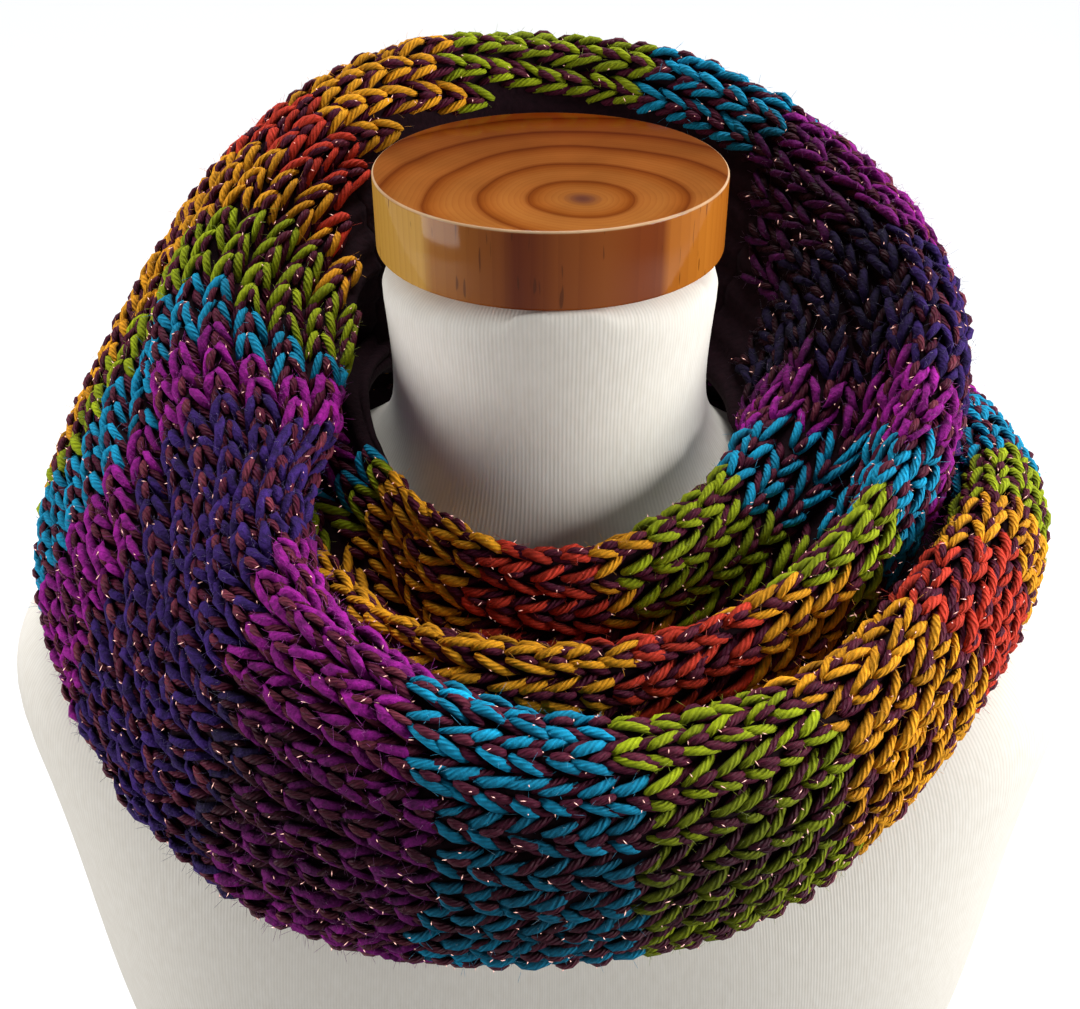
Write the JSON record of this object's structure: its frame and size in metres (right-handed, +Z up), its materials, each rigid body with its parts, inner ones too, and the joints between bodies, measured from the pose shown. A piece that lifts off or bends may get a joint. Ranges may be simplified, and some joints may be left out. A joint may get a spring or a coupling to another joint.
{
  "type": "infinity scarf on dress form",
  "caption": "Ribbed knitted infinity scarf in striped multicolour yarn, wound twice round the neck of a limbless dress form with a flat base and a turned wooden neck cap.",
  "frame": {"origin": "on the neck's axis, in the plane of the form's flat base", "axes": "+Z up along the neck; the form's front faces -Y; +X is the side to the right of someone who faces the form"},
  "size_m": [0.416, 0.305, 0.6567],
  "materials": {
    "scarf_front_wrap": "matt ribbed knit",
    "scarf_right_wrap": "matt ribbed knit",
    "scarf_back_wrap": "matt ribbed knit",
    "scarf_left_under_wrap": "matt ribbed knit",
    "scarf_inner_front": "matt ribbed knit",
    "scarf_right_rise": "matt ribbed knit",
    "scarf_back_collar": "matt ribbed knit",
    "scarf_left_strand": "matt ribbed knit",
    "form_torso": "matt fine-ribbed jersey",
    "form_neck_cap": "varnished"
  },
  "bodies": {
    "root": {"scarf_front_wrap": "scarf_front_wrap", "scarf_right_wrap": "scarf_right_wrap", "scarf_back_wrap": "scarf_back_wrap", "scarf_left_under_wrap": "scarf_left_under_wrap", "scarf_inner_front": "scarf_inner_front", "scarf_right_rise": "scarf_right_rise", "scarf_back_collar": "scarf_back_collar", "scarf_left_strand": "scarf_left_strand", "form_torso": "form_torso", "form_neck_cap": "form_neck_cap"}
  },
  "joints": []
}
